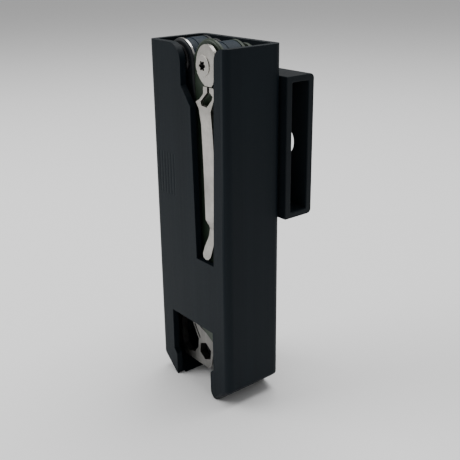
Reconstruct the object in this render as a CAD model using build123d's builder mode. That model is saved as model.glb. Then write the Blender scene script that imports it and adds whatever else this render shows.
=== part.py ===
"""Closed multi tool stowed in a printed belt holster with a screwed-on belt loop.

Frame: millimetres, +Z up, holster foot on Z = 0, X across the width, front face
(with the clip slot) towards -Y, belt loop on the back (+Y).
"""
import os
from math import cos, radians

from build123d import *

os.makedirs("parts", exist_ok=True)

# ---------------------------------------------------------------- holster
SHELL_W = 41.4            # outside width, X
SHELL_D = 23.6            # outside depth, Y
SHELL_H = 126.0           # height, Z
WALL = 2.3
SHELL_R = 2.6             # outside vertical corners
FOOT_RUN = 7.5            # sloped foot, width taken off each side
FOOT_RISE = 6.5           # sloped foot, height
INNER_W = SHELL_W - 2 * WALL
INNER_D = SHELL_D - 2 * WALL
FRONT_Y = -SHELL_D / 2
BACK_Y = SHELL_D / 2
POCKET_RUN = 8.7          # inside face of the sloped foot
POCKET_RISE = 7.5
POCKET_R = 1.2            # inside vertical corners
FOOT_R = 1.5

SLOT_LEFT = -2.6          # clip slot, wide upper part
SLOT_RIGHT = 15.3
SLOT_LEFT_R = 6.0         # rounded corner where the slot meets the rim
SLOT_RIGHT_R = 3.8
SLOT_FLOOR = 53.0
WINDOW_TOP = 27.0         # thumb window at the bottom of the front wall

# ---------------------------------------------------------------- belt loop
LOOP_W = 46.0
LOOP_WALL = 2.4
BELT_GAP = 7.3            # belt thickness space
BELT_H = 44.4             # belt width space
LOOP_MID_Z = 91.2
LOOP_RIM = 2.1            # top and bottom of the loop
LOOP_D = BELT_GAP + 2 * LOOP_WALL
LOOP_BACK_Y = BACK_Y + LOOP_D
LOOP_EDGE_R = 1.6         # long outer edges of the loop
SCREW_X = 10.8            # two loop screws, left and right of the middle
ACCESS_R = 5.3            # screwdriver holes in the outer plate
BARREL_R = 3.0
SCREW_R = 2.0
SCREW_HEAD_R = 4.2
SCREW_HEAD_H = 1.2
SOCKET_R = 1.6            # hexagon socket of the loop screws, to its corners
NUT_SEAT_R = 4.7
NUT_HEAD_R = 4.6
NUT_HEAD_T = 0.9
HEAD_Y = BACK_Y + LOOP_WALL - SCREW_HEAD_H - 0.1   # seat of the sunk screw heads

# ---------------------------------------------------------------- multi tool
PIVOT_X = 7.9             # handle pivots, left and right of the middle
PIVOT_Z = 119.8
HANDLE_R = 8.2
HANDLE_FOOT = 6.3
HANDLE_IN = 0.4           # inner edge of a handle, next to the middle line
HANDLE_OUT = PIVOT_X + HANDLE_R
SHOULDER_DROP = 12.0      # height over which a plate narrows to its rounded top
SHEET = 1.2               # handle sheet thickness
FACE = 7.4                # back faces of the handles
FACE_FRONT = {1: -8.0, -1: -7.85}   # front faces of the right and left handles
FRONT_TOP_R = {1: HANDLE_R, -1: 7.1}   # rounded tops of the front plates
BACK_TOP_R = 5.6          # rounded top of the back plates
JAW_FRONT = -3.4          # pliers head between these two Y positions
JAW_BACK = 1.8
JAW_MID = (JAW_FRONT + JAW_BACK) / 2
KNUCKLE_R = 6.9
JAW_PIN_Z = 97.0
HUB_R = 6.0
GAP = 0.06                # play between the two halves of the pliers
SHAFT_R = 2.4
BORE = 0.05               # radial running clearance
LINER_Y = 2.0             # lock liner behind the pliers head
LINER_T = 1.0
BLADE_Y = 3.4            # knife and saw lane
AXLE_X = 10.2             # lower axles
AXLE_Z = 32.0
AXLE_R = 2.0
TOOL_PIN_R = 1.5          # pins of the awl and the can opener
AWL_Z = 52.0
OPENER_Z = 74.0
TOOL_T = 2.0              # awl, can opener and bit driver
KNIFE_T = 2.1
SAW_T = 1.5
SAW_PITCH = 2.6
SAW_TEETH = 20
FRONT_LANE = -5.9         # front faces of the awl, can opener and bit driver
BOSS_R = 4.0              # round roots of the blades
BOLT_HEAD_R = 3.4
BOLT_HEAD_T = 0.3
STUD_HEAD_R = 5.2
PIVOT_NUT_R = 4.8
WASHER_R = 4.4
SPACER_R = 6.7
CLIP_WASHER_R = 3.2
VIEW_SLOT_Z = 84.0        # long slots in the handle plates
CUTTER_Z = 86.0
CUTTER_BORE_R = 0.85
HOOK_Y = -6.6             # end hook lane
HOOK_T = 2.4
HEX_AF = 6.4              # hexagon wrench opening, across flats
CLIP_FRONT = -10.4
CLIP_T = 1.2
CLIP_HINGE_Z = 113.45
FOOT_TIP_Z = 53.9         # lower tip of the clip
ROD_X = 5.0
ROD_Y = -0.9
ROD_FOOT = 6.8            # feet of the fire rod and sharpener caps
ROD_R = 2.1
ROD_LENGTH = 40.0
BAR_W = 4.8               # sharpener bar
BAR_T = 1.8
CAP_W = 6.4
CAP_D = 5.2
CAP_H = 9.0
SOCKET_FLOOR = 4.0


def xz(y_back):
    """Sketch plane whose extrusion runs forward (-Y) from y_back."""
    return Plane.XZ.offset(-y_back)


def y_cylinder(x, z, radius, y_front, y_back, mode=Mode.ADD):
    """Cylinder along Y between two Y positions, inside the active part."""
    with BuildSketch(xz(y_back)) as disc:
        with Locations((x, z)):
            Circle(radius)
    extrude(disc.sketch, amount=y_back - y_front, mode=mode)


def y_plate(points, y_front, y_back, mode=Mode.ADD):
    """Flat piece with a polygon outline in X and Z, inside the active part."""
    with BuildSketch(xz(y_back)) as outline:
        with BuildLine():
            Polyline(*points, close=True)
        make_face()
    extrude(outline.sketch, amount=y_back - y_front, mode=mode)


def mirror_points(points, side):
    """Outline points for the right (side 1) or left (side -1) handle."""
    return [(side * x, z) for x, z in points]


def blade_bore(side, y_front, y_back):
    y_cylinder(side * AXLE_X, AXLE_Z, AXLE_R + BORE, y_front - 1, y_back + 1, mode=Mode.SUBTRACT)


def save(builder, label):
    builder.part.label = label
    export_step(builder.part, f"parts/{label}.step")


# ================================================================ holster shell
with BuildPart() as pocket:
    with BuildSketch(Plane.XY.offset(-1)):
        RectangleRounded(INNER_W, INNER_D, POCKET_R)
    extrude(amount=SHELL_H + 2)
    with BuildSketch(xz(INNER_D)):
        with BuildLine():
            Polyline(
                (-INNER_W / 2 + POCKET_RUN + 1, -1),
                (-INNER_W / 2, POCKET_RISE),
                (-INNER_W / 2, SHELL_H + 1),
                (INNER_W / 2, SHELL_H + 1),
                (INNER_W / 2, POCKET_RISE),
                (INNER_W / 2 - POCKET_RUN - 1, -1),
                close=True,
            )
        make_face()
    extrude(amount=2 * INNER_D, mode=Mode.INTERSECT)

with BuildPart() as holster_shell:
    with BuildSketch(Plane.XY):
        RectangleRounded(SHELL_W, SHELL_D, SHELL_R)
    extrude(amount=SHELL_H)
    for side in (-1, 1):
        y_plate(
            [
                (side * (SHELL_W / 2 - FOOT_RUN), 0),
                (side * (SHELL_W / 2 + 1), 0),
                (side * (SHELL_W / 2 + 1), FOOT_RISE),
                (side * SHELL_W / 2, FOOT_RISE),
            ],
            -SHELL_D,
            SHELL_D,
            mode=Mode.SUBTRACT,
        )
    foot_edges = holster_shell.edges().filter_by(Axis.Y).filter_by_position(Axis.Z, -0.1, FOOT_RISE + 0.1)
    fillet(foot_edges, radius=FOOT_R)
    add(pocket.part, mode=Mode.SUBTRACT)
    # clip slot, open at the rim with two rounded corners
    with BuildSketch(xz(FRONT_Y + WALL + 0.6)):
        with BuildLine():
            Line((SLOT_LEFT - SLOT_LEFT_R, SHELL_H + 1), (SLOT_LEFT - SLOT_LEFT_R, SHELL_H))
            CenterArc((SLOT_LEFT - SLOT_LEFT_R, SHELL_H - SLOT_LEFT_R), SLOT_LEFT_R, 90, -90)
            Polyline(
                (SLOT_LEFT, SHELL_H - SLOT_LEFT_R),
                (SLOT_LEFT, 112.4),
                (2.3, 106.2),
                (3.6, SLOT_FLOOR),
                (13.2, SLOT_FLOOR),
                (SLOT_RIGHT, SHELL_H - SLOT_RIGHT_R),
            )
            CenterArc((SLOT_RIGHT + SLOT_RIGHT_R, SHELL_H - SLOT_RIGHT_R), SLOT_RIGHT_R, 180, -90)
            Polyline(
                (SLOT_RIGHT + SLOT_RIGHT_R, SHELL_H),
                (SLOT_RIGHT + SLOT_RIGHT_R, SHELL_H + 1),
                (SLOT_LEFT - SLOT_LEFT_R, SHELL_H + 1),
            )
        make_face()
    extrude(amount=WALL + 1.6, mode=Mode.SUBTRACT)
    # thumb window, open at the bottom, with a rounded right leg
    with BuildSketch(xz(FRONT_Y + WALL + 0.6)):
        with BuildLine():
            Polyline(
                (13.4, -1),
                (-11.0, -1),
                (-11.0, 8.6),
                (-12.6, 10.4),
                (-12.6, WINDOW_TOP),
                (11.8, WINDOW_TOP),
                (11.8, 12.2),
                (10.0, 10.4),
                (10.0, 3.4),
            )
            CenterArc((13.4, 3.4), 3.4, 180, 90)
            Line((13.4, 0), (13.4, -1))
        make_face()
    extrude(amount=WALL + 1.6, mode=Mode.SUBTRACT)
    # sleeve nut seats and barrels through the back wall
    for x in (-SCREW_X, SCREW_X):
        y_cylinder(x, LOOP_MID_Z, BARREL_R + BORE, BACK_Y - WALL - 1, BACK_Y + 1, mode=Mode.SUBTRACT)
        seat_y = BACK_Y - WALL
        y_cylinder(x, LOOP_MID_Z, NUT_SEAT_R, seat_y - 1, seat_y + NUT_HEAD_T, mode=Mode.SUBTRACT)
save(holster_shell, "holster_shell")

# ================================================================ belt loop
# one moulding, held as two plates and two rims that meet face to face
with BuildPart() as loop_inner_plate:
    with BuildSketch(xz(BACK_Y + LOOP_WALL)):
        with Locations((0, LOOP_MID_Z)):
            Rectangle(LOOP_W, BELT_H)
    extrude(amount=LOOP_WALL)
    for x in (-SCREW_X, SCREW_X):
        y_cylinder(x, LOOP_MID_Z, BARREL_R + BORE, BACK_Y - 1, BACK_Y + LOOP_WALL + 1, mode=Mode.SUBTRACT)
        y_cylinder(x, LOOP_MID_Z, SCREW_HEAD_R + 0.1, HEAD_Y, HEAD_Y + LOOP_WALL, mode=Mode.SUBTRACT)
save(loop_inner_plate, "loop_inner_plate")

with BuildPart() as loop_outer_plate:
    with BuildSketch(xz(LOOP_BACK_Y)):
        with Locations((0, LOOP_MID_Z)):
            Rectangle(LOOP_W, BELT_H)
    extrude(amount=LOOP_WALL)
    for x in (-SCREW_X, SCREW_X):
        y_cylinder(x, LOOP_MID_Z, ACCESS_R, LOOP_BACK_Y - LOOP_WALL - 1, LOOP_BACK_Y + 1, mode=Mode.SUBTRACT)
save(loop_outer_plate, "loop_outer_plate")

for rim_name, rim_side in (("loop_top_rim", 1), ("loop_bottom_rim", -1)):
    with BuildPart() as loop_rim:
        with BuildSketch(Plane.YZ.offset(-LOOP_W / 2)) as rim_section:
            with Locations((BACK_Y + LOOP_D / 2, LOOP_MID_Z + rim_side * (BELT_H + LOOP_RIM) / 2)):
                Rectangle(LOOP_D, LOOP_RIM)
        extrude(amount=LOOP_W)
        rim_edge = loop_rim.edges().filter_by(Axis.X).filter_by_position(
            Axis.Y, LOOP_BACK_Y - 0.1, LOOP_BACK_Y + 0.1
        ).sort_by(Axis.Z)[-1 if rim_side > 0 else 0]
        fillet(rim_edge, radius=LOOP_EDGE_R)
    save(loop_rim, rim_name)

with BuildPart() as loop_screws:
    for x in (-SCREW_X, SCREW_X):
        y_cylinder(x, LOOP_MID_Z, SCREW_HEAD_R, HEAD_Y, HEAD_Y + SCREW_HEAD_H)
        y_cylinder(x, LOOP_MID_Z, SCREW_R, BACK_Y - WALL + 1.1, HEAD_Y)
    head_rims = loop_screws.edges().filter_by(GeomType.CIRCLE).filter_by_position(
        Axis.Y, HEAD_Y + SCREW_HEAD_H - 0.01, HEAD_Y + SCREW_HEAD_H + 0.01
    )
    fillet(head_rims, radius=0.8)
    with BuildSketch(xz(HEAD_Y + SCREW_HEAD_H + 0.5)):
        with Locations((-SCREW_X, LOOP_MID_Z), (SCREW_X, LOOP_MID_Z)):
            RegularPolygon(SOCKET_R, 6)
    extrude(amount=1.3, mode=Mode.SUBTRACT)
save(loop_screws, "loop_screws")

with BuildPart() as loop_nuts:
    for x in (-SCREW_X, SCREW_X):
        y_cylinder(x, LOOP_MID_Z, NUT_HEAD_R, BACK_Y - WALL + 0.05, BACK_Y - WALL + NUT_HEAD_T)
        y_cylinder(x, LOOP_MID_Z, BARREL_R, BACK_Y - WALL + NUT_HEAD_T, HEAD_Y - 0.2)
        y_cylinder(x, LOOP_MID_Z, SCREW_R + BORE, BACK_Y - WALL + 1.05, HEAD_Y, mode=Mode.SUBTRACT)
save(loop_nuts, "loop_nuts")

# ================================================================ handles
HANDLE_NAMES = {1: "right", -1: "left"}
for side in (1, -1):
    with BuildPart() as handle:
        # folded channel: front plate, spine and back plate
        face_front = FACE_FRONT[side]
        for y_front, y_back in ((face_front, face_front + SHEET), (FACE - SHEET, FACE)):
            front = y_front < 0
            top_r = FRONT_TOP_R[side] if front else BACK_TOP_R
            y_cylinder(side * PIVOT_X, PIVOT_Z, top_r, y_front, y_back)
            if front and side > 0:
                foot = [(HANDLE_IN, 23.4), (HANDLE_OUT, 14.6)]
            elif front:
                foot = [(HANDLE_IN, 26.0), (HANDLE_OUT, 26.0)]
            else:
                foot = [
                    (HANDLE_IN, HANDLE_FOOT),
                    (HANDLE_OUT - 1.2, HANDLE_FOOT),
                    (HANDLE_OUT, HANDLE_FOOT + 1.2),
                ]
            if top_r == HANDLE_R:
                shoulder = [(HANDLE_OUT, PIVOT_Z), (HANDLE_IN, PIVOT_Z)]
            else:
                shoulder = [
                    (HANDLE_OUT, PIVOT_Z - SHOULDER_DROP),
                    (PIVOT_X + top_r, PIVOT_Z),
                    (PIVOT_X - top_r, PIVOT_Z),
                    (HANDLE_IN, PIVOT_Z - SHOULDER_DROP),
                ]
            y_plate(mirror_points(foot + shoulder, side), y_front, y_back)
            # long view slot along the plate
            with BuildSketch(xz(y_back)) as view_slot:
                with Locations((side * 6.2, VIEW_SLOT_Z)):
                    SlotOverall(34, 3.2, rotation=90)
            extrude(view_slot.sketch, amount=SHEET, mode=Mode.SUBTRACT)
        y_plate(
            mirror_points(
                [
                    (HANDLE_OUT - SHEET, 14.0),
                    (HANDLE_OUT, 14.0),
                    (HANDLE_OUT, 106.0),
                    (HANDLE_OUT - SHEET, 106.0),
                ],
                side,
            ),
            face_front,
            FACE,
        )
        y_plate(
            mirror_points([(-2, 100), (HANDLE_IN, 100), (HANDLE_IN, 140), (-2, 140)], side),
            face_front - 1,
            FACE + 1,
            mode=Mode.SUBTRACT,
        )
        y_cylinder(side * PIVOT_X, PIVOT_Z, SHAFT_R + BORE, face_front - 1, FACE + 1, mode=Mode.SUBTRACT)
        y_cylinder(side * AXLE_X, AXLE_Z, AXLE_R + BORE, face_front - 1, FACE + 1, mode=Mode.SUBTRACT)
        spine_edges = handle.edges().filter_by(Axis.Z).filter_by_position(
            Axis.X, side * HANDLE_OUT - 0.01, side * HANDLE_OUT + 0.01
        ).filter_by_position(Axis.Z, 30, 80)
        fillet(spine_edges, radius=1.0)
        if side < 0:
            # the spine stops short beside the end hook
            notches = ((10, 26, face_front - 1), (25, 37, face_front + SHEET))
            for notch_foot, notch_top, notch_front in notches:
                y_plate(
                    [(-20, notch_foot), (-14, notch_foot), (-14, notch_top), (-20, notch_top)],
                    notch_front,
                    JAW_FRONT,
                    mode=Mode.SUBTRACT,
                )
    save(handle, f"handle_{HANDLE_NAMES[side]}")

# lock liners behind the pliers head, with a sprung tongue cut out of each
for side in (1, -1):
    with BuildPart() as liner:
        y_cylinder(side * PIVOT_X, PIVOT_Z, 7.1, LINER_Y, LINER_Y + LINER_T)
        y_plate(
            mirror_points(
                [
                    (0.7, 24),
                    (14.3, 24),
                    (14.3, 112),
                    (PIVOT_X + 7.0, PIVOT_Z),
                    (PIVOT_X - 7.0, PIVOT_Z),
                    (0.7, 112),
                ],
                side,
            ),
            LINER_Y,
            LINER_Y + LINER_T,
        )
        y_plate(
            mirror_points([(8.2, 40), (9.0, 40), (9.0, 92), (8.2, 92)], side),
            LINER_Y - 1,
            LINER_Y + LINER_T + 1,
            mode=Mode.SUBTRACT,
        )
        y_plate(
            mirror_points([(8.2, 40), (15.2, 40), (15.2, 41), (8.2, 41)], side),
            LINER_Y - 1,
            LINER_Y + LINER_T + 1,
            mode=Mode.SUBTRACT,
        )
        y_cylinder(side * PIVOT_X, PIVOT_Z, SHAFT_R + BORE, LINER_Y - 1, LINER_Y + 2, mode=Mode.SUBTRACT)
        y_cylinder(side * AXLE_X, AXLE_Z, AXLE_R + BORE, LINER_Y - 1, LINER_Y + 2, mode=Mode.SUBTRACT)
    save(liner, f"lock_liner_{HANDLE_NAMES[side]}")

# ================================================================ pliers
for side in (1, -1):
    hub_front = JAW_FRONT if side > 0 else JAW_MID + GAP
    hub_back = JAW_MID - GAP if side > 0 else JAW_BACK
    other_front = JAW_MID - GAP if side > 0 else JAW_FRONT - 1
    other_back = JAW_BACK + 1 if side > 0 else JAW_MID + GAP
    with BuildPart() as jaw:
        y_cylinder(side * PIVOT_X, PIVOT_Z, KNUCKLE_R, JAW_FRONT, JAW_BACK)
        y_plate(
            mirror_points(
                [(PIVOT_X + KNUCKLE_R, 119), (11.6, 108), (8.4, 99), (0.25, 99), (0.25, 112), (1.1, 119)],
                side,
            ),
            JAW_FRONT,
            JAW_BACK,
        )
        # nose on the opposite side of the joint, so the two levers cross
        y_plate(
            mirror_points([(-0.12, 94), (-6.4, 94), (-5.6, 82), (-2.6, 57), (-0.12, 56.5)], side),
            JAW_FRONT,
            JAW_BACK,
        )
        y_cylinder(0, JAW_PIN_Z, HUB_R + 0.2, other_front, other_back, mode=Mode.SUBTRACT)
        y_cylinder(0, JAW_PIN_Z, HUB_R, hub_front, hub_back)
        y_cylinder(0, JAW_PIN_Z, SHAFT_R + BORE, JAW_FRONT - 1, JAW_BACK + 1, mode=Mode.SUBTRACT)
        y_cylinder(side * PIVOT_X, PIVOT_Z, SHAFT_R + BORE, JAW_FRONT - 1, JAW_BACK + 1, mode=Mode.SUBTRACT)
        # seat for the replaceable cutter
        y_plate(
            mirror_points([(0.5, 83), (-3.0, 83), (-3.0, 89), (0.5, 89)], side),
            JAW_FRONT - 1,
            JAW_BACK + 1,
            mode=Mode.SUBTRACT,
        )
        with BuildSketch(Plane.YZ) as screw_bore:
            with Locations((JAW_MID, CUTTER_Z)):
                Circle(CUTTER_BORE_R)
        extrude(screw_bore.sketch, amount=-side * 9, mode=Mode.SUBTRACT)
    save(jaw, f"plier_jaw_{HANDLE_NAMES[side]}")

with BuildPart() as jaw_pin:
    y_cylinder(0, JAW_PIN_Z, SHAFT_R, JAW_FRONT - 0.1, JAW_BACK + 0.1)
    y_cylinder(0, JAW_PIN_Z, 3.6, JAW_FRONT - 0.8, JAW_FRONT - 0.05)
save(jaw_pin, "jaw_pin")

with BuildPart() as wire_cutters:
    for side in (1, -1):
        y_plate(
            mirror_points(
                [(0.14, 84.6), (1.1, 83.06), (2.94, 83.06), (2.94, 88.94), (1.1, 88.94), (0.14, 87.4)],
                side,
            ),
            JAW_FRONT,
            JAW_BACK,
        )
save(wire_cutters, "wire_cutters")

with BuildPart() as cutter_screws:
    for side in (1, -1):
        with BuildSketch(Plane.YZ.offset(side * 3.0)) as shank:
            with Locations((JAW_MID, CUTTER_Z)):
                Circle(CUTTER_BORE_R - BORE)
        extrude(shank.sketch, amount=side * 2.9)
save(cutter_screws, "cutter_screws")

# ================================================================ pivots
with BuildPart() as pivot_bolt:
    y_cylinder(PIVOT_X, PIVOT_Z, BOLT_HEAD_R, CLIP_FRONT - BOLT_HEAD_T, CLIP_FRONT - 0.02)
    bolt_rim = pivot_bolt.edges().filter_by(GeomType.CIRCLE).sort_by(Axis.Y)[0]
    fillet(bolt_rim, radius=0.15)
    y_cylinder(PIVOT_X, PIVOT_Z, SHAFT_R, CLIP_FRONT - 0.1, FACE + 0.05)
    # six-lobe recess
    with BuildSketch(xz(CLIP_FRONT + 0.9)) as recess:
        with Locations((PIVOT_X, PIVOT_Z)):
            Circle(1.2)
            with PolarLocations(1.2, 6):
                Circle(0.45)
    extrude(recess.sketch, amount=3, mode=Mode.SUBTRACT)
save(pivot_bolt, "pivot_bolt")

with BuildPart() as pivot_stud:
    y_cylinder(-PIVOT_X, PIVOT_Z, STUD_HEAD_R, FACE_FRONT[-1] - 0.8, FACE_FRONT[-1] - 0.05)
    stud_rim = pivot_stud.edges().filter_by(GeomType.CIRCLE).sort_by(Axis.Y)[0]
    chamfer(stud_rim, length=0.35)
    y_cylinder(-PIVOT_X, PIVOT_Z, SHAFT_R, FACE_FRONT[-1] - 0.1, FACE + 0.05)
save(pivot_stud, "pivot_stud")

with BuildPart() as pivot_nuts:
    for side in (1, -1):
        y_cylinder(side * PIVOT_X, PIVOT_Z, PIVOT_NUT_R, FACE + 0.07, FACE + 0.9)
    nut_rims = pivot_nuts.edges().filter_by(GeomType.CIRCLE).filter_by_position(Axis.Y, FACE + 0.8, FACE + 1)
    fillet(nut_rims, radius=0.45)
save(pivot_nuts, "pivot_nuts")

with BuildPart() as knuckle_spacers:
    for side in (1, -1):
        spacer_front = FACE_FRONT[side] + SHEET + BORE
        spacer_back = JAW_FRONT - BORE
        y_cylinder(side * PIVOT_X, PIVOT_Z, SPACER_R, spacer_front, spacer_back)
        y_cylinder(side * PIVOT_X, PIVOT_Z, SHAFT_R + BORE, spacer_front - 1, spacer_back + 1, mode=Mode.SUBTRACT)
save(knuckle_spacers, "knuckle_spacers")

with BuildPart() as pivot_washers:
    for side in (1, -1):
        washer_front = LINER_Y + LINER_T + BORE
        washer_back = FACE - SHEET - BORE
        y_cylinder(side * PIVOT_X, PIVOT_Z, WASHER_R, washer_front, washer_back)
        y_cylinder(side * PIVOT_X, PIVOT_Z, SHAFT_R + BORE, washer_front - 1, washer_back + 1, mode=Mode.SUBTRACT)
save(pivot_washers, "pivot_washers")

# ================================================================ blades and lower axles
with BuildPart() as knife_blade:
    knife_back = BLADE_Y + KNIFE_T
    y_cylinder(-AXLE_X, AXLE_Z, BOSS_R, BLADE_Y, knife_back)
    y_plate(
        [
            (-14.0, 32),
            (-14.0, 90),
            (-12.6, 98),
            (-10.4, 104.5),
            (-6.6, 94),
            (-3.2, 84),
            (-3.0, 44),
            (-6.2, 38),
            (-6.2, 32),
        ],
        BLADE_Y,
        knife_back,
    )
    blade_bore(-1, BLADE_Y, knife_back)
    # thumb opening
    with BuildSketch(xz(knife_back)) as thumb_hole:
        with Locations((-8.6, 50)):
            SlotOverall(14, 3.8, rotation=90)
    extrude(thumb_hole.sketch, amount=KNIFE_T, mode=Mode.SUBTRACT)
    # hollow grind towards the cutting edge
    with BuildSketch(Plane.XY.offset(52)) as grind:
        with BuildLine():
            Polyline(
                (-2.5, BLADE_Y - 1),
                (-2.5, BLADE_Y + 0.85),
                (-9.0, BLADE_Y),
                (-9.0, BLADE_Y - 1),
                close=True,
            )
        make_face()
    extrude(grind.sketch, amount=60, mode=Mode.SUBTRACT)
save(knife_blade, "knife_blade")

with BuildPart() as saw_blade:
    saw_back = BLADE_Y + SAW_T
    y_cylinder(AXLE_X, AXLE_Z, BOSS_R, BLADE_Y, saw_back)
    y_plate(
        [(14.0, 32), (14.0, 96), (11.5, 101), (5.0, 101), (5.0, 44), (6.4, 38), (6.4, 32)],
        BLADE_Y,
        saw_back,
    )
    for i in range(SAW_TEETH):
        tooth_z = 46 + i * SAW_PITCH
        y_plate(
            [
                (4.0, tooth_z - 0.3),
                (4.9, tooth_z),
                (6.4, tooth_z + SAW_PITCH / 2),
                (4.9, tooth_z + SAW_PITCH),
                (4.0, tooth_z + SAW_PITCH + 0.3),
            ],
            BLADE_Y - 1,
            saw_back + 1,
            mode=Mode.SUBTRACT,
        )
    blade_bore(1, BLADE_Y, saw_back)
save(saw_blade, "saw_blade")

with BuildPart() as awl:
    y_cylinder(-AXLE_X, AWL_Z, 3.4, FRONT_LANE, FRONT_LANE + TOOL_T)
    y_plate(
        [(-13.4, AWL_Z), (-12.6, 84), (-9.6, 101), (-7.6, 84), (-7.0, AWL_Z)],
        FRONT_LANE,
        FRONT_LANE + TOOL_T,
    )
    y_cylinder(-AXLE_X, AWL_Z, TOOL_PIN_R + BORE, FRONT_LANE - 1, FRONT_LANE + 3, mode=Mode.SUBTRACT)
save(awl, "awl")

with BuildPart() as can_opener:
    y_cylinder(AXLE_X, OPENER_Z, 3.4, FRONT_LANE, FRONT_LANE + TOOL_T)
    y_plate(
        [
            (13.6, OPENER_Z),
            (13.9, 96),
            (12.0, 104),
            (7.2, 104.5),
            (6.2, 101),
            (9.0, 99.5),
            (8.4, 96.5),
            (5.8, 95.5),
            (5.6, 92),
            (6.8, OPENER_Z),
        ],
        FRONT_LANE,
        FRONT_LANE + TOOL_T,
    )
    y_cylinder(AXLE_X, OPENER_Z, TOOL_PIN_R + BORE, FRONT_LANE - 1, FRONT_LANE + 3, mode=Mode.SUBTRACT)
save(can_opener, "can_opener")

with BuildPart() as bit_driver:
    y_cylinder(AXLE_X, AXLE_Z, BOSS_R, FRONT_LANE, FRONT_LANE + TOOL_T)
    y_plate([(13.8, 32), (13.8, 64), (6.6, 64), (6.6, 32)], FRONT_LANE, FRONT_LANE + TOOL_T)
    y_plate(
        [(12.0, 46), (12.0, 66), (8.4, 66), (8.4, 46)],
        FRONT_LANE - 1,
        FRONT_LANE + 4,
        mode=Mode.SUBTRACT,
    )
    blade_bore(1, FRONT_LANE, FRONT_LANE + TOOL_T)
save(bit_driver, "bit_driver")

with BuildPart() as driver_bit:
    y_plate(
        [
            (11.92, 46.1),
            (11.92, 62),
            (11.0, 63.5),
            (11.0, 68.5),
            (9.4, 68.5),
            (9.4, 63.5),
            (8.48, 62),
            (8.48, 46.1),
        ],
        FRONT_LANE + 0.1,
        FRONT_LANE + TOOL_T,
    )
save(driver_bit, "driver_bit")

with BuildPart() as lower_axles:
    for side in (1, -1):
        y_cylinder(side * AXLE_X, AXLE_Z, AXLE_R, FACE_FRONT[side] - 0.1, FACE + 0.1)
save(lower_axles, "lower_axles")

with BuildPart() as tool_pins:
    for x, z in ((-AXLE_X, AWL_Z), (AXLE_X, OPENER_Z)):
        y_cylinder(x, z, TOOL_PIN_R, FRONT_LANE - 0.1, FRONT_LANE + 2.4)
save(tool_pins, "tool_pins")

# end hook: carrying loop, bottle opener notch and hexagon wrench
with BuildPart() as end_hook:
    y_cylinder(-AXLE_X, AXLE_Z, 4.2, HOOK_Y, HOOK_Y + HOOK_T)
    y_plate(
        [
            (-15.6, 34),
            (-15.6, 10.6),
            (-14.6, 8.0),
            (-12.6, HANDLE_FOOT),
            (2.6, HANDLE_FOOT),
            (4.1, 8.6),
            (5.0, 13.7),
            (5.6, 19.0),
            (-4.4, 22.6),
            (-6.4, 33),
            (-6.4, 36),
        ],
        HOOK_Y,
        HOOK_Y + HOOK_T,
    )
    y_plate(
        [
            (-14.2, 26.6),
            (-14.2, 13.6),
            (-13.2, 10.6),
            (-10.0, 8.7),
            (-6.4, 9.8),
            (-4.2, 12.6),
            (-3.7, 16.4),
            (-8.4, 24.0),
            (-9.4, 26.6),
        ],
        HOOK_Y - 1,
        HOOK_Y + HOOK_T + 1,
        mode=Mode.SUBTRACT,
    )
    y_plate(
        [(-6.3, 21.6), (-5.6, 22.0), (-2.5, 17.4), (-3.1, 16.9)],
        HOOK_Y - 1,
        HOOK_Y + HOOK_T + 1,
        mode=Mode.SUBTRACT,
    )
    with BuildSketch(xz(HOOK_Y + HOOK_T)) as wrench:
        with Locations((0.35, 12.8)):
            RegularPolygon(HEX_AF / 2 / cos(radians(30)), 6, rotation=24)
    extrude(wrench.sketch, amount=HOOK_T, mode=Mode.SUBTRACT)
    blade_bore(-1, HOOK_Y, HOOK_Y + HOOK_T)
save(end_hook, "end_hook")

# ================================================================ pocket clip
with BuildPart() as clip_washer:
    y_cylinder(PIVOT_X, PIVOT_Z, CLIP_WASHER_R, CLIP_FRONT + CLIP_T + 0.02, FACE_FRONT[1] - 0.02)
    y_cylinder(PIVOT_X, PIVOT_Z, SHAFT_R + BORE, CLIP_FRONT, FACE_FRONT[1] + 1, mode=Mode.SUBTRACT)
save(clip_washer, "clip_washer")

with BuildPart() as clip_root:
    with BuildSketch(xz(CLIP_FRONT + CLIP_T)) as root_pad:
        with Locations((9.65, 120.3)):
            Ellipse(5.2, 6.3)
    extrude(root_pad.sketch, amount=CLIP_T)
    y_plate(
        [
            (4.6, 117.4),
            (7.6, 114.4),
            (8.8, CLIP_HINGE_Z + 0.15),
            (12.0, CLIP_HINGE_Z + 0.15),
            (13.0, 114.6),
            (13.8, 117.4),
        ],
        CLIP_FRONT,
        CLIP_FRONT + CLIP_T,
    )
    y_cylinder(PIVOT_X, PIVOT_Z, SHAFT_R + BORE, CLIP_FRONT - 1, CLIP_FRONT + 3, mode=Mode.SUBTRACT)
save(clip_root, "clip_root")

with BuildPart() as clip_side:
    # side view of the strip: straight, bent in to the handle, then flared out
    with BuildSketch(Plane.YZ.offset(-2)) as bend:
        with BuildLine():
            Polyline(
                (CLIP_FRONT, CLIP_HINGE_Z - 0.15),
                (CLIP_FRONT, 68.0),
                (CLIP_FRONT + 0.8, 65.0),
                (CLIP_FRONT + 0.55, 63.0),
                (CLIP_FRONT - 0.9, FOOT_TIP_Z),
                (CLIP_FRONT + 0.2, FOOT_TIP_Z),
                (CLIP_FRONT + 1.7, 63.4),
                (CLIP_FRONT + 1.8, 65.2),
                (CLIP_FRONT + CLIP_T, 68.6),
                (CLIP_FRONT + CLIP_T, CLIP_HINGE_Z - 0.15),
                close=True,
            )
        make_face()
    extrude(bend.sketch, amount=20)

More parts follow.
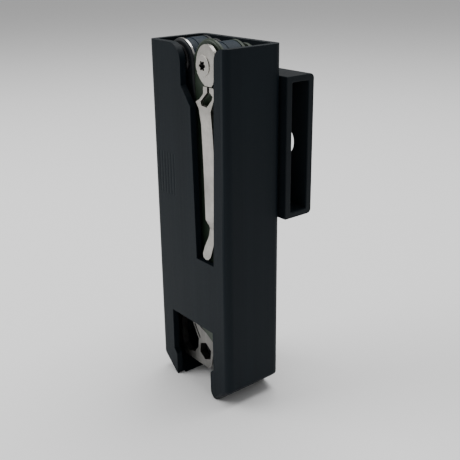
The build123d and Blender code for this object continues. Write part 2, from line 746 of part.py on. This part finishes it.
with BuildPart() as pocket_clip:
    y_plate(
        [
            (7.8, CLIP_HINGE_Z - 0.15),
            (7.7, 110.9),
            (5.7, 109.0),
            (3.6, 107.9),
            (5.2, 105.6),
            (6.3, 100.7),
            (7.0, 87.0),
            (7.5, 68.0),
            (8.8, 66.2),
            (8.5, 62.2),
            (6.9, 58.2),
            (6.3, 55.6),
            (6.8, 54.5),
            (8.1, FOOT_TIP_Z),
            (9.6, 54.2),
            (10.7, 55.4),
            (11.6, 60.4),
            (12.2, 65.6),
            (12.8, 68.0),
            (12.9, 88.0),
            (12.2, 98.0),
            (11.4, 105.6),
            (12.9, 108.9),
            (13.8, 110.8),
            (13.0, CLIP_HINGE_Z - 0.15),
        ],
        CLIP_FRONT - 3,
        CLIP_FRONT + 4,
    )
    # slanted wrench opening with a narrow slit towards the root
    y_plate(
        [
            (9.8, 114.5),
            (9.8, 111.6),
            (6.1, 108.2),
            (6.7, 107.0),
            (9.4, 106.7),
            (12.2, 109.5),
            (12.7, 110.6),
            (11.0, 111.8),
            (11.0, 114.5),
        ],
        CLIP_FRONT - 3,
        CLIP_FRONT + 4,
        mode=Mode.SUBTRACT,
    )
    add(clip_side.part, mode=Mode.INTERSECT)
save(pocket_clip, "pocket_clip")

# ================================================================ fire rod and sharpener
with BuildPart() as fire_rod_cap:
    with BuildSketch(Plane.XY.offset(ROD_FOOT)) as cap_section:
        with Locations((ROD_X, ROD_Y)):
            RectangleRounded(CAP_W, CAP_D, 1.0)
    extrude(cap_section.sketch, amount=CAP_H)
    with BuildSketch(Plane.XY.offset(ROD_FOOT + SOCKET_FLOOR)) as socket:
        with Locations((ROD_X, ROD_Y)):
            Circle(ROD_R + BORE)
    extrude(socket.sketch, amount=CAP_H, mode=Mode.SUBTRACT)
    # whistle window
    y_plate(
        [
            (ROD_X - 1.5, ROD_FOOT + 1.2),
            (ROD_X + 1.5, ROD_FOOT + 1.2),
            (ROD_X + 1.5, ROD_FOOT + 2.6),
            (ROD_X - 1.5, ROD_FOOT + 2.6),
        ],
        ROD_Y - 3,
        ROD_Y + 3,
        mode=Mode.SUBTRACT,
    )
save(fire_rod_cap, "fire_rod_cap")

with BuildPart() as fire_rod:
    with BuildSketch(Plane.XY.offset(ROD_FOOT + SOCKET_FLOOR + BORE)) as rod_section:
        with Locations((ROD_X, ROD_Y)):
            Circle(ROD_R)
    extrude(rod_section.sketch, amount=ROD_LENGTH)
save(fire_rod, "fire_rod")

with BuildPart() as sharpener_cap:
    with BuildSketch(Plane.XY.offset(ROD_FOOT)) as grip_section:
        with Locations((-ROD_X, ROD_Y)):
            RectangleRounded(CAP_W, CAP_D, 1.0)
    extrude(grip_section.sketch, amount=CAP_H)
    with BuildSketch(Plane.XY.offset(ROD_FOOT + SOCKET_FLOOR)) as grip_socket:
        with Locations((-ROD_X, ROD_Y)):
            Rectangle(BAR_W + 2 * BORE, BAR_T + 2 * BORE)
    extrude(grip_socket.sketch, amount=CAP_H, mode=Mode.SUBTRACT)
save(sharpener_cap, "sharpener_cap")

with BuildPart() as sharpener:
    with BuildSketch(Plane.XY.offset(ROD_FOOT + SOCKET_FLOOR + BORE)) as bar_section:
        with Locations((-ROD_X, ROD_Y)):
            Rectangle(BAR_W, BAR_T)
    extrude(bar_section.sketch, amount=ROD_LENGTH)
save(sharpener, "sharpener")
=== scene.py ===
import math

import bmesh
import bpy
from mathutils import Matrix, Vector


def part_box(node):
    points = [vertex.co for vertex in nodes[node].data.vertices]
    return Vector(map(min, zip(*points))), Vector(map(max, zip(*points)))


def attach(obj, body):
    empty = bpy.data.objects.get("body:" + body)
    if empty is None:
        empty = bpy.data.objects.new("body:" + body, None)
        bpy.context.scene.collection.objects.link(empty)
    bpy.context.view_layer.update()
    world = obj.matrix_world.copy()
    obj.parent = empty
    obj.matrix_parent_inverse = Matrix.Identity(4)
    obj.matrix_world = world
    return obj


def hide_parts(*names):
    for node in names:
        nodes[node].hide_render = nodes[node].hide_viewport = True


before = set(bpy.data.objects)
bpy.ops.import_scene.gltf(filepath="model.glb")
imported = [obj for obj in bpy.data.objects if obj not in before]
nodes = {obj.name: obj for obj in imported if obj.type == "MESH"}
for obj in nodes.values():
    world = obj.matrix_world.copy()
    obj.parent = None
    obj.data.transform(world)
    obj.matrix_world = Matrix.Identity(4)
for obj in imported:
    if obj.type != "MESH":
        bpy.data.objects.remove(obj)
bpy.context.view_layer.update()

MM = 0.001


# ---------------------------------------------------------------- materials
class Tree:
    """Short way to write a node tree."""

    def __init__(self, name):
        self.mat = bpy.data.materials.new(name)
        self.mat.use_nodes = True
        self.nt = self.mat.node_tree
        self.nt.nodes.clear()
        self.out = self.add("ShaderNodeOutputMaterial")
        self.bsdf = self.add("ShaderNodeBsdfPrincipled")
        self.link(self.bsdf.outputs[0], self.out.inputs["Surface"])
        self.coord = self.add("ShaderNodeTexCoord")

    def add(self, kind, **props):
        n = self.nt.nodes.new(kind)
        for k, v in props.items():
            setattr(n, k, v)
        return n

    def link(self, a, b):
        self.nt.links.new(a, b)

    def mapped(self, scale):
        m = self.add("ShaderNodeMapping")
        self.link(self.coord.outputs["Object"], m.inputs["Vector"])
        m.inputs["Scale"].default_value = scale
        return m.outputs["Vector"]

    def noise(self, scale, detail=4.0, rough=0.6, stretch=(1, 1, 1)):
        n = self.add("ShaderNodeTexNoise")
        self.link(self.mapped(stretch), n.inputs["Vector"])
        n.inputs["Scale"].default_value = scale
        n.inputs["Detail"].default_value = detail
        n.inputs["Roughness"].default_value = rough
        return n.outputs["Fac"]

    def remap(self, value, lo, hi, to_lo, to_hi):
        m = self.add("ShaderNodeMapRange")
        self.link(value, m.inputs["Value"])
        m.inputs["From Min"].default_value = lo
        m.inputs["From Max"].default_value = hi
        m.inputs["To Min"].default_value = to_lo
        m.inputs["To Max"].default_value = to_hi
        return m.outputs["Result"]

    def math(self, op, a, b):
        m = self.add("ShaderNodeMath", operation=op)
        for i, v in enumerate((a, b)):
            if isinstance(v, (int, float)):
                m.inputs[i].default_value = v
            else:
                self.link(v, m.inputs[i])
        return m.outputs["Value"]

    def mix(self, fac, a, b):
        m = self.add("ShaderNodeMix", data_type="RGBA")
        self.link(fac, m.inputs["Factor"])
        for key, v in ((6, a), (7, b)):
            if isinstance(v, tuple):
                m.inputs[key].default_value = (*v, 1)
            else:
                self.link(v, m.inputs[key])
        return m.outputs[2]

    def bump(self, height, strength, distance):
        b = self.add("ShaderNodeBump")
        b.inputs["Strength"].default_value = strength
        b.inputs["Distance"].default_value = distance
        self.link(height, b.inputs["Height"])
        return b.outputs["Normal"]

    def feed(self, **sockets):
        for k, v in sockets.items():
            s = self.bsdf.inputs[k.replace("_", " ")]
            if hasattr(v, "node"):
                self.link(v, s)
            elif isinstance(v, tuple):
                s.default_value = (*v, 1)
            else:
                s.default_value = v


def printed_plastic(name, color, light):
    """Satin printed polymer: fine vertical lines, grain and faint scuffs."""
    t = Tree(name)
    lines = t.noise(900, 2, 0.5, (1, 1, 0.012))
    bands = t.noise(160, 2, 0.5, (1, 1, 0.02))
    grain = t.noise(2600, 3, 0.6)
    scuff = t.remap(t.noise(70, 6, 0.7, (1, 1, 0.35)), 0.55, 0.8, 0.0, 1.0)
    tone = t.mix(t.remap(bands, 0.35, 0.65, 0, 1), color, light)
    rubbed = tuple(min(1, c * 2.0) for c in light)
    t.feed(Base_Color=t.mix(t.math("MULTIPLY", scuff, 0.25), tone, rubbed))
    satin = t.remap(grain, 0.3, 0.7, 0.44, 0.54)
    t.feed(Roughness=t.math("ADD", satin, t.math("MULTIPLY", scuff, 0.06)))
    height = t.math("ADD", t.math("MULTIPLY", lines, 0.7), t.math("MULTIPLY", grain, 0.35))
    t.feed(Normal=t.bump(height, 0.35, 0.00012), Specular_IOR_Level=0.1)
    return t.mat


def steel(name, color, rough=0.28, brush=(1, 1, 0.03), dark=0.6, bump=0.12):
    """Satin steel with brushing, soft stains, small scratches and tiny pits."""
    t = Tree(name)
    strokes = t.noise(2200, 3, 0.6, brush)
    stain = t.noise(150, 5, 0.65)
    pits = t.remap(t.noise(3400, 2, 0.5), 0.66, 0.74, 0.0, 1.0)
    scratch = t.remap(t.noise(600, 8, 0.75, (1, 0.3, 0.08)), 0.6, 0.68, 0.0, 1.0)
    worn = tuple(c * dark for c in color)
    tone = t.mix(t.remap(stain, 0.35, 0.65, 0.0, 1.0), color, worn)
    tone = t.mix(t.math("MULTIPLY", pits, 0.4), tone, tuple(c * 0.4 for c in color))
    bright = tuple(min(1, c * 1.25) for c in color)
    t.feed(Base_Color=t.mix(t.math("MULTIPLY", scratch, 0.4), tone, bright))
    satin = t.remap(strokes, 0.3, 0.7, rough - 0.08, rough + 0.1)
    t.feed(Roughness=t.math("ADD", satin, t.math("MULTIPLY", scratch, 0.12)))
    height = t.math("SUBTRACT", strokes, t.math("MULTIPLY", pits, 0.4))
    t.feed(Metallic=1.0, Normal=t.bump(height, bump, 0.00008))
    return t.mat


def coated(name, color, rough=0.42, chip=(0.5, 0.49, 0.47), metal=0.15, specular=0.3):
    """Coated steel: fine texture, rubbed patches, a few bright chips."""
    t = Tree(name)
    grain = t.noise(1900, 4, 0.6)
    rub = t.remap(t.noise(160, 6, 0.7), 0.45, 0.75, 0.0, 1.0)
    chips = t.remap(t.noise(420, 8, 0.75), 0.7, 0.73, 0.0, 1.0)
    tone = t.mix(t.math("MULTIPLY", rub, 0.5), color, tuple(min(1, c * 1.5 + 0.004) for c in color))
    t.feed(Base_Color=t.mix(chips, tone, chip))
    t.feed(Metallic=t.math("ADD", t.math("MULTIPLY", chips, 0.8), metal))
    satin = t.remap(grain, 0.3, 0.7, rough - 0.06, rough + 0.08)
    t.feed(Roughness=t.math("SUBTRACT", satin, t.math("MULTIPLY", rub, 0.08)))
    t.feed(Normal=t.bump(grain, 0.18, 0.00005), Specular_IOR_Level=specular)
    return t.mat


def matte(name, color, rough=0.6, grain_scale=1500, bump=0.25):
    """Dull moulded or gritty surface with fine grain and worn patches."""
    t = Tree(name)
    grain = t.noise(grain_scale, 4, 0.6)
    wear = t.remap(t.noise(140, 5, 0.7), 0.5, 0.8, 0.0, 1.0)
    t.feed(Base_Color=t.mix(wear, color, tuple(min(1, c * 2 + 0.01) for c in color)))
    t.feed(Roughness=t.remap(grain, 0.3, 0.7, rough - 0.08, rough + 0.08), Normal=t.bump(grain, bump, 0.0001))
    return t.mat


def soft_edges(obj, width, slot_index=None, angle=40, segments=2):
    """Bevel of the sharp edges; width in mm, slot_index the material of the bevelled faces."""
    bevel = obj.modifiers.new("edges", "BEVEL")
    bevel.width = width * MM
    bevel.segments = segments
    bevel.limit_method = "ANGLE"
    bevel.angle_limit = math.radians(angle)
    bevel.use_clamp_overlap = True
    if slot_index is not None:
        bevel.material = slot_index


EDGE = steel("bare_edge", (0.60, 0.59, 0.57), 0.24, dark=0.85)
SHELL = printed_plastic("holster_polymer", (0.0034, 0.0066, 0.0096), (0.0046, 0.0082, 0.0115))
LOOP = printed_plastic("loop_polymer", (0.0052, 0.0080, 0.0104), (0.0068, 0.0100, 0.0128))
CLIP = steel("clip_steel", (0.44, 0.425, 0.395), 0.34, dark=0.72, bump=0.35)
STAINLESS = steel("satin_stainless", (0.21, 0.205, 0.195), 0.36, dark=0.65)
OLIVE = coated("olive_coat", (0.018, 0.029, 0.018))
DARK = coated("dark_coat", (0.005, 0.007, 0.009), 0.5)
BLUE = coated("blue_black_coat", (0.006, 0.015, 0.025), 0.5, metal=0.0, specular=0.15)
BLADE = coated("blade_coat", (0.045, 0.045, 0.048), 0.38)
STUD = coated("stud_face", (0.006, 0.006, 0.007), 0.3)
# black oxide finish of the cutter screws; also used as painted shade inside the pivot bolt's recess
OXIDE_AND_RECESS_SHADE = coated("black_oxide_and_recess_shade", (0.010, 0.010, 0.011), 0.3)
SCREW = steel("screw_oxide", (0.075, 0.075, 0.08), 0.32, dark=0.6)
NUT = steel("nut_steel", (0.45, 0.44, 0.42), 0.3)
WASHER = steel("washer_steel", (0.10, 0.10, 0.10), 0.4)
BIT = steel("bit_steel", (0.33, 0.33, 0.33), 0.4)
FERRO = matte("fire_rod", (0.035, 0.034, 0.033), 0.55, 900)
CAP = matte("cap_polymer", (0.008, 0.008, 0.009), 0.5)
HONE = matte("hone_grit", (0.12, 0.12, 0.125), 0.7, 4200, 0.6)

# node: material, material of its bevelled edges, bevel width in mm
FINISH = {
    "holster_shell": (SHELL, None, 0.35),
    "loop_screws": (SCREW, EDGE, 0.1),
    "loop_nuts": (NUT, None, 0.1),
    "handle_right": (OLIVE, EDGE, 0.26),
    "handle_left": (DARK, EDGE, 0.18),
    "lock_liner_right": (OLIVE, EDGE, 0.12),
    "lock_liner_left": (DARK, EDGE, 0.12),
    "plier_jaw_right": (BLUE, EDGE, 0.22),
    "plier_jaw_left": (BLUE, EDGE, 0.22),
    "jaw_pin": (STAINLESS, None, 0.1),
    "wire_cutters": (STAINLESS, None, 0.1),
    "cutter_screws": (OXIDE_AND_RECESS_SHADE, None, 0.05),
    "pivot_bolt": (CLIP, None, 0.06),
    "pivot_stud": (STUD, EDGE, 0.08),
    "pivot_nuts": (STAINLESS, None, 0.06),
    "knuckle_spacers": (BLUE, None, 0.2),
    "pivot_washers": (WASHER, None, 0.05),
    "knife_blade": (BLADE, EDGE, 0.12),
    "saw_blade": (BLADE, EDGE, 0.06),
    "awl": (STAINLESS, None, 0.1),
    "can_opener": (STAINLESS, None, 0.1),
    "bit_driver": (STAINLESS, None, 0.1),
    "driver_bit": (BIT, None, 0.08),
    "lower_axles": (STAINLESS, None, 0.08),
    "tool_pins": (STAINLESS, None, 0.08),
    "end_hook": (STAINLESS, None, 0.18),
    "clip_washer": (STAINLESS, None, 0.05),
    "clip_root": (CLIP, None, 0.12),
    "pocket_clip": (CLIP, None, 0.14),
    "fire_rod_cap": (CAP, None, 0.2),
    "fire_rod": (FERRO, None, 0.2),
    "sharpener_cap": (CAP, None, 0.2),
    "sharpener": (HONE, None, 0.1),
}

for name, (body_mat, edge_mat, width) in FINISH.items():
    o = nodes[name]
    o.data.materials.clear()
    o.data.materials.append(body_mat)
    if edge_mat:
        o.data.materials.append(edge_mat)
    for p in o.data.polygons:
        p.material_index = 0
    soft_edges(o, width, slot_index=1 if edge_mat else None)

# the left handle's rounded top has a bare ground edge
HANDLE_ROUND_Z = 108 * MM   # the rounded top starts here
left = nodes["handle_left"]
for p in left.data.polygons:
    if abs(p.normal.y) < 0.4 and p.center.z > HANDLE_ROUND_Z and p.center.y < 0:
        p.material_index = 1

# the six-lobe recess of the pivot bolt gets the black oxide material on its inner faces: painted shade for
# the deep recess
RECESS_R = 1.6 * MM
RECESS_DEPTHS = (0.05 * MM, 2.5 * MM)   # below the head's front face
bolt = nodes["pivot_bolt"]
bolt.data.materials.append(OXIDE_AND_RECESS_SHADE)
bolt_lo, bolt_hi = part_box("pivot_bolt")
bolt_x, bolt_z = (bolt_lo[0] + bolt_hi[0]) / 2, (bolt_lo[2] + bolt_hi[2]) / 2
for p in bolt.data.polygons:
    c = p.center
    depth = c.y - bolt_lo[1]
    inside = RECESS_DEPTHS[0] < depth < RECESS_DEPTHS[1]
    if inside and math.hypot(c.x - bolt_x, c.z - bolt_z) < RECESS_R:
        p.material_index = 1


# ---------------------------------------------------------------- mesh helpers
def add_object(name, mesh, mat, body):
    o = bpy.data.objects.new(name, mesh)
    bpy.context.scene.collection.objects.link(o)
    o.data.materials.append(mat)
    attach(o, body)
    return o


def rounded(y0, z0, y1, z1, radii, steps=6):
    """Rounded rectangle in Y and Z; radii for the corners (y0 z0), (y1 z0), (y1 z1), (y0 z1)."""
    pts = []
    corners = ((y0, z0, 1, 1, 180), (y1, z0, -1, 1, 270), (y1, z1, -1, -1, 0), (y0, z1, 1, -1, 90))
    for (y, z, sy, sz, start), r in zip(corners, radii):
        cy, cz = y + sy * r, z + sz * r
        for i in range(steps + 1):
            a = math.radians(start + 90 * i / steps)
            pts.append((cy + r * math.cos(a), cz + r * math.sin(a)))
    return pts


def prism(name, pts, x0, x1):
    bm = bmesh.new()
    ends = [[bm.verts.new((x, y, z)) for y, z in pts] for x in (x0, x1)]
    n = len(pts)
    bm.faces.new(list(reversed(ends[0])))
    bm.faces.new(ends[1])
    for i in range(n):
        j = (i + 1) % n
        bm.faces.new((ends[0][i], ends[0][j], ends[1][j], ends[1][i]))
    bmesh.ops.remove_doubles(bm, verts=bm.verts, dist=1e-7)
    bmesh.ops.recalc_face_normals(bm, faces=bm.faces)
    mesh = bpy.data.meshes.new(name)
    bm.to_mesh(mesh)
    bm.free()
    return mesh


def rod(name, r, place, length, sides):
    """Cylinder along local Z, centred on place."""
    bm = bmesh.new()
    bmesh.ops.create_cone(
        bm, cap_ends=True, segments=sides, radius1=r, radius2=r, depth=length, matrix=place
    )
    mesh = bpy.data.meshes.new(name)
    bm.to_mesh(mesh)
    bm.free()
    return mesh


def y_rod(name, x, z, r, y0, y1):
    turn = Matrix.Rotation(math.radians(90), 4, "X")
    return rod(name, r, Matrix.Translation((x, (y0 + y1) / 2, z)) @ turn, y1 - y0, 64)


def z_rod(name, x, y, r, z0, z1):
    return rod(name, r, Matrix.Translation((x, y, (z0 + z1) / 2)), z1 - z0, 48)


def as_shown(obj):
    """A new mesh of obj with its modifiers in it."""
    bpy.context.view_layer.update()
    return bpy.data.meshes.new_from_object(obj.evaluated_get(bpy.context.evaluated_depsgraph_get()))


def cut(obj, tools):
    """Take the tool meshes out of obj and keep the result as plain mesh."""
    helpers = []
    for mesh in tools:
        h = bpy.data.objects.new("helper", mesh)
        bpy.context.scene.collection.objects.link(h)
        m = obj.modifiers.new("cut", "BOOLEAN")
        m.operation = "DIFFERENCE"
        m.solver = "EXACT"
        m.object = h
        helpers.append(h)
    done = as_shown(obj)
    obj.modifiers.clear()
    obj.data = done
    for h in helpers:
        bpy.data.objects.remove(h)


# ---------------------------------------------------------------- belt loop as one moulding
RIM_R = 1.6 * MM          # outer corners away from the holster
WALL_CORNER_R = 0.3 * MM  # outer corners against the holster
GAP_CORNER_R = 0.5 * MM
ACCESS_R = 5.3 * MM
SEAT_GAP = 0.1 * MM       # around a screw head
SEAT_DEPTH = 1.2 * MM
BARREL_R = 3.05 * MM      # hole for the sleeve nut

in_lo, in_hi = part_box("loop_inner_plate")
out_lo, out_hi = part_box("loop_outer_plate")
top_lo, top_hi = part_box("loop_top_rim")
bot_lo, bot_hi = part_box("loop_bottom_rim")
corners = (WALL_CORNER_R, RIM_R, RIM_R, WALL_CORNER_R)
outer = rounded(in_lo[1], bot_lo[2], out_hi[1], top_hi[2], corners)
inner = rounded(in_hi[1], bot_hi[2], out_lo[1], top_lo[2], (GAP_CORNER_R,) * 4)
loop_mesh = prism("belt_loop", outer, in_lo[0], in_hi[0])
loop = add_object("belt_loop", loop_mesh, LOOP, "holster")
screw_lo, screw_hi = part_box("loop_screws")
head_r = (screw_hi[2] - screw_lo[2]) / 2
screw_x = screw_hi[0] - head_r
mid_z = (screw_lo[2] + screw_hi[2]) / 2
tools = [prism("gap", inner, in_lo[0] - MM, in_hi[0] + MM)]
for x in (-screw_x, screw_x):
    tools.append(y_rod("access", x, mid_z, ACCESS_R, out_lo[1] - MM, out_hi[1] + MM))
    tools.append(y_rod("seat", x, mid_z, head_r + SEAT_GAP, screw_hi[1] - SEAT_DEPTH, in_hi[1] + MM))
    tools.append(y_rod("barrel", x, mid_z, BARREL_R, in_lo[1] - MM, in_hi[1]))
cut(loop, tools)
soft_edges(loop, 0.3)
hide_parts("loop_inner_plate", "loop_outer_plate", "loop_top_rim", "loop_bottom_rim")

# ---------------------------------------------------------------- upright ribs on the front wall
HOLLOW_X = -16.6 * MM     # first hollow
HOLLOW_PITCH = 1.7 * MM
HOLLOWS = 6
HOLLOW_Z = (73.0 * MM, 88.0 * MM)
HOLLOW_DEPTH = 0.07 * MM
HOLLOW_R = 1.3 * MM

front_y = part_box("holster_shell")[0][1]
hollow_y = front_y + HOLLOW_DEPTH - HOLLOW_R
hollow_xs = [HOLLOW_X + i * HOLLOW_PITCH for i in range(HOLLOWS)]
shell_mesh = as_shown(nodes["holster_shell"])
shell_mesh.materials.clear()
shell = add_object("holster_body", shell_mesh, SHELL, "holster")
cut(shell, [z_rod("hollow", x, hollow_y, HOLLOW_R, *HOLLOW_Z) for x in hollow_xs])
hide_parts("holster_shell")

# ---------------------------------------------------------------- stage
def panel(name, size, location, rotation, mat):
    bpy.ops.mesh.primitive_plane_add(size=size, location=location, rotation=rotation)
    o = bpy.context.object
    o.name = name
    o.data.materials.append(mat)
    return o


paper = Tree("paper")
paper.feed(Base_Color=(0.93, 0.93, 0.93), Roughness=0.9)
panel("floor", 6, (0, 0, -0.0002), (0, 0, 0), paper.mat)

# the world lights at one strength and is seen by the camera at another, as a pale backdrop
FILL_STRENGTH = 0.42
BACKDROP = (0.93, 0.93, 0.93, 1)
BACKDROP_STRENGTH = 0.95
world = bpy.data.worlds.new("studio")
bpy.context.scene.world = world
world.use_nodes = True
tree = world.node_tree
fill = tree.nodes["Background"]
fill.inputs["Color"].default_value = (1, 1, 1, 1)
fill.inputs["Strength"].default_value = FILL_STRENGTH
seen = tree.nodes.new("ShaderNodeBackground")
seen.inputs["Color"].default_value = BACKDROP
seen.inputs["Strength"].default_value = BACKDROP_STRENGTH
which = tree.nodes.new("ShaderNodeMixShader")
path = tree.nodes.new("ShaderNodeLightPath")
tree.links.new(path.outputs["Is Camera Ray"], which.inputs[0])
tree.links.new(fill.outputs[0], which.inputs[1])
tree.links.new(seen.outputs[0], which.inputs[2])
tree.links.new(which.outputs[0], tree.nodes["World Output"].inputs["Surface"])


def softbox(name, location, target, size, power):
    light = bpy.data.lights.new(name, "AREA")
    light.shape = "RECTANGLE"
    light.size, light.size_y = size
    light.energy = power
    o = bpy.data.objects.new(name, light)
    bpy.context.scene.collection.objects.link(o)
    o.location = location
    o.rotation_euler = (Vector(target) - Vector(location)).to_track_quat("-Z", "Y").to_euler()
    return o


softbox("key", (-0.45, -0.55, 0.55), (0, 0, 0.07), (0.55, 0.55), 4.4)
softbox("top", (-0.05, 0.2, 0.8), (0, 0, 0.1), (0.6, 0.6), 6.0)

# ---------------------------------------------------------------- camera
cam = bpy.data.cameras.new("camera")
camera = bpy.data.objects.new("camera", cam)
bpy.context.scene.collection.objects.link(camera)
CAMERA_AT = Vector((0.2002770, -0.1539348, 0.1571225))
right = Vector((0.61453375, 0.78869099, -0.01774244))
up = Vector((-0.26525007, 0.22775447, 0.93689396))
back = right.cross(up)
camera.matrix_world = Matrix((
    (right.x, up.x, back.x, CAMERA_AT.x),
    (right.y, up.y, back.y, CAMERA_AT.y),
    (right.z, up.z, back.z, CAMERA_AT.z),
    (0, 0, 0, 1),
))
cam.lens = 59.26
cam.sensor_width = 36
cam.shift_x = 0.0291
cam.shift_y = -0.0195
cam.clip_start = 0.01
bpy.context.scene.camera = camera
